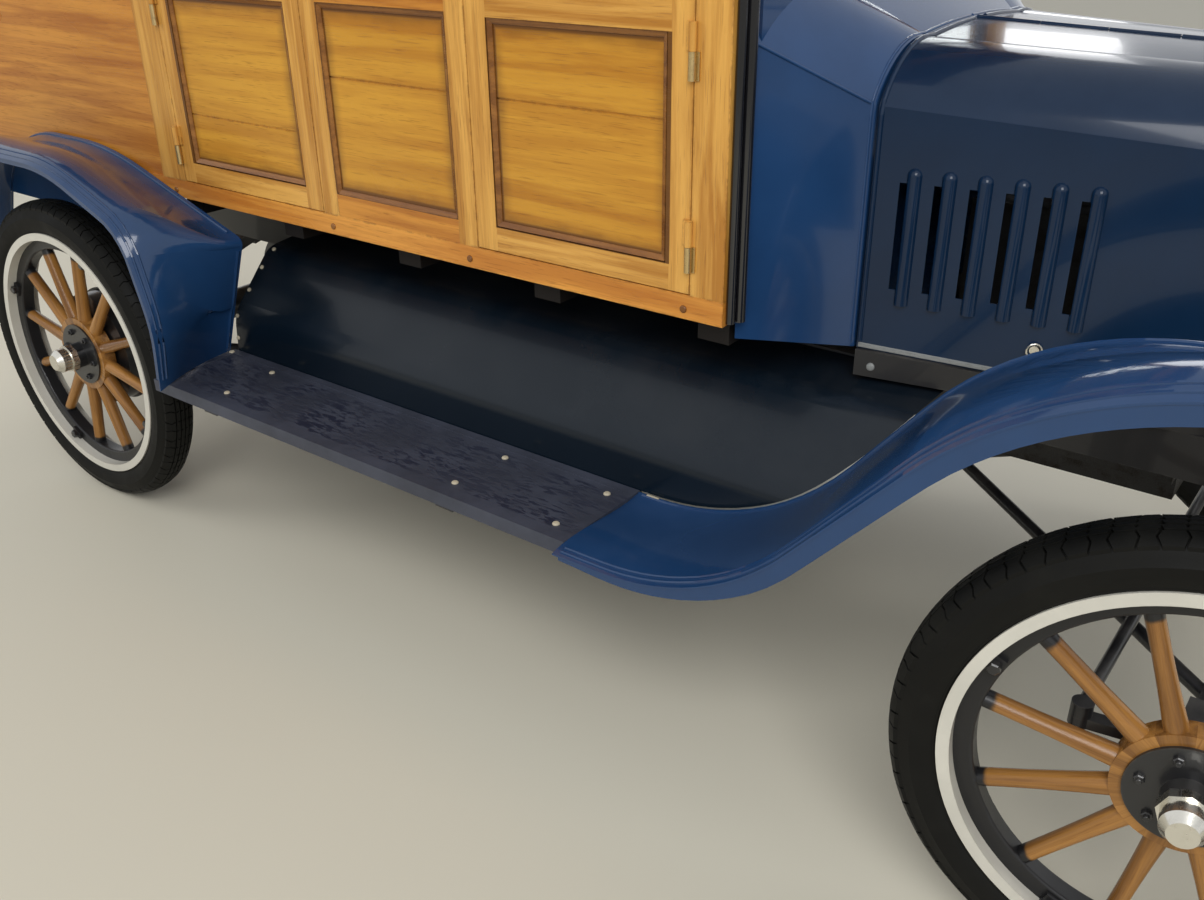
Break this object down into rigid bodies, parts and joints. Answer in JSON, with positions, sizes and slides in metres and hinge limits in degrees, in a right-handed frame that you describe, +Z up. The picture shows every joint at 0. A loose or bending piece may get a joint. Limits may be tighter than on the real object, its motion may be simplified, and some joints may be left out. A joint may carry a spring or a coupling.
{
  "type": "1920s wood-bodied vintage car",
  "caption": "Open wood-bodied wagon of the 1920s with steel hood and fenders, running boards, wood-spoked wheels, steering, side doors, folding hood halves and tailgate.",
  "frame": {"origin": "on the ground, under the middle of the car's length and width", "axes": "+X points forward, +Y to the car's left, +Z up"},
  "size_m": [3.73, 1.624, 2.014],
  "materials": {
    "chassis_black": "satin",
    "cast_iron": "matt",
    "body_blue": "gloss",
    "board_paint": "worn satin",
    "nickel": "polished",
    "core_black": "matt",
    "lamp_black": "gloss",
    "lens_glass": "clear",
    "clear_glass": "clear",
    "oak": "varnished",
    "panel_wood": "varnished",
    "floor_wood": "worn",
    "brass": "worn",
    "roof_cloth": "coated",
    "seat_leather": "satin",
    "wheel_grip": "gloss",
    "tyre": "matt",
    "rim_silver": "satin",
    "spoke_wood": "varnished",
    "hub_black": "satin"
  },
  "bodies": {
    "root": {"body_bolsters": "oak", "body_floor": "floor_wood", "body_posts": "oak", "body_sills": "oak", "controls": "chassis_black", "cowl": "body_blue", "door_hinges": "brass", "engine_block": "cast_iron", "exhaust": "cast_iron", "frame_crossmembers": "chassis_black", "frame_rails": "chassis_black", "front_axle": "chassis_black", "front_fenders": "body_blue", "hood_shelves": "chassis_black", "lamp_lenses": "lens_glass", "lamps": "lamp_black", "leaf_springs": "chassis_black", "radiator_core": "core_black", "radiator_shell": "nickel", "rear_axle": "chassis_black", "rear_fenders": "body_blue", "roof_cover": "roof_cloth", "roof_frame": "oak", "running_boards": "board_paint", "seat_backs": "seat_leather", "seat_boxes": "oak", "seat_cushions": "seat_leather", "side_panels": "panel_wood", "splash_aprons": "body_blue", "windshield_frame": "lamp_black", "windshield_glass": "clear_glass"},
    "knuckle_left": {"knuckle_left": "chassis_black"},
    "knuckle_right": {"knuckle_right": "chassis_black"},
    "tie_rod": {"tie_rod": "chassis_black"},
    "steering_wheel": {"steering_wheel": "wheel_grip"},
    "hood_left": {"hood_left": "body_blue"},
    "hood_right": {"hood_right": "body_blue"},
    "door_front_left": {"door_front_left": "panel_wood"},
    "door_front_right": {"door_front_right": "panel_wood"},
    "door_rear_left": {"door_rear_left": "panel_wood"},
    "door_rear_right": {"door_rear_right": "panel_wood"},
    "tailgate": {"tailgate": "panel_wood"},
    "wheel_front_left": {"tyre_front_left": "tyre", "rim_front_left": "rim_silver", "wheel_wood_front_left": "spoke_wood", "hub_front_left": "hub_black"},
    "wheel_front_right": {"tyre_front_right": "tyre", "rim_front_right": "rim_silver", "wheel_wood_front_right": "spoke_wood", "hub_front_right": "hub_black"},
    "wheel_rear_left": {"tyre_rear_left": "tyre", "rim_rear_left": "rim_silver", "wheel_wood_rear_left": "spoke_wood", "hub_rear_left": "hub_black"},
    "wheel_rear_right": {"tyre_rear_right": "tyre", "rim_rear_right": "rim_silver", "wheel_wood_rear_right": "spoke_wood", "hub_rear_right": "hub_black"}
  },
  "joints": [
    {"name": "steer_left", "type": "hinge", "parent": "root", "child": "knuckle_left", "pos_m": [1.435, 0.649, 0.381], "axis": [0, 0, 1], "range_deg": [-39, 21]},
    {"name": "steer_right", "type": "hinge", "parent": "root", "child": "knuckle_right", "pos_m": [1.435, -0.649, 0.381], "axis": [0, 0, 1], "range_deg": [-39, 21]},
    {"name": "tie_rod_pin", "type": "hinge", "parent": "knuckle_left", "child": "tie_rod", "pos_m": [1.29672, 0.6271, 0.385], "axis": [0, 0, 1], "range_deg": [-21, 39]},
    {"name": "steering_wheel_turn", "type": "hinge", "parent": "root", "child": "steering_wheel", "pos_m": [0.335, 0.24, 1.42], "axis": [-0.6473, 0, 0.7622], "range_deg": [-156, 84]},
    {"name": "spin_front_left", "type": "hinge", "parent": "knuckle_left", "child": "wheel_front_left", "pos_m": [1.4253, 0.71024, 0.381], "axis": [-0.1564, 0.9877, 0], "continuous": true},
    {"name": "spin_front_right", "type": "hinge", "parent": "knuckle_right", "child": "wheel_front_right", "pos_m": [1.4447, -0.71024, 0.381], "axis": [0.1564, -0.9877, 0], "continuous": true},
    {"name": "spin_rear_left", "type": "hinge", "parent": "root", "child": "wheel_rear_left", "pos_m": [-1.105, 0.711, 0.381], "axis": [0, 1, 0], "continuous": true},
    {"name": "spin_rear_right", "type": "hinge", "parent": "root", "child": "wheel_rear_right", "pos_m": [-1.105, -0.711, 0.381], "axis": [0, -1, 0], "continuous": true},
    {"name": "door_front_left_swing", "type": "hinge", "parent": "root", "child": "door_front_left", "pos_m": [0.586, 0.5813, 1.028], "axis": [0, 0, -1], "range_deg": [0, 75]},
    {"name": "door_front_right_swing", "type": "hinge", "parent": "root", "child": "door_front_right", "pos_m": [0.586, -0.5813, 1.028], "axis": [0, 0, 1], "range_deg": [0, 75]},
    {"name": "door_rear_left_swing", "type": "hinge", "parent": "root", "child": "door_rear_left", "pos_m": [-0.757, 0.5813, 1.028], "axis": [0, 0, 1], "range_deg": [0, 75]},
    {"name": "door_rear_right_swing", "type": "hinge", "parent": "root", "child": "door_rear_right", "pos_m": [-0.757, -0.5813, 1.028], "axis": [0, 0, -1], "range_deg": [0, 75]},
    {"name": "tailgate_drop", "type": "hinge", "parent": "root", "child": "tailgate", "pos_m": [-1.8463, 0, 0.829], "axis": [0, -1, 0], "range_deg": [0, 90]},
    {"name": "hood_left_lift", "type": "hinge", "parent": "root", "child": "hood_left", "pos_m": [0.785, 0, 1.203], "axis": [0.9994, 0, -0.0351], "range_deg": [0, 65]},
    {"name": "hood_right_lift", "type": "hinge", "parent": "root", "child": "hood_right", "pos_m": [0.785, 0, 1.203], "axis": [-0.9994, 0, 0.0351], "range_deg": [0, 65]}
  ],
  "couplings": [
    {"joint": "steer_right", "follows": "steer_left", "ratio": 1},
    {"joint": "tie_rod_pin", "follows": "steer_left", "ratio": -1},
    {"joint": "steering_wheel_turn", "follows": "steer_left", "ratio": 4}
  ]
}
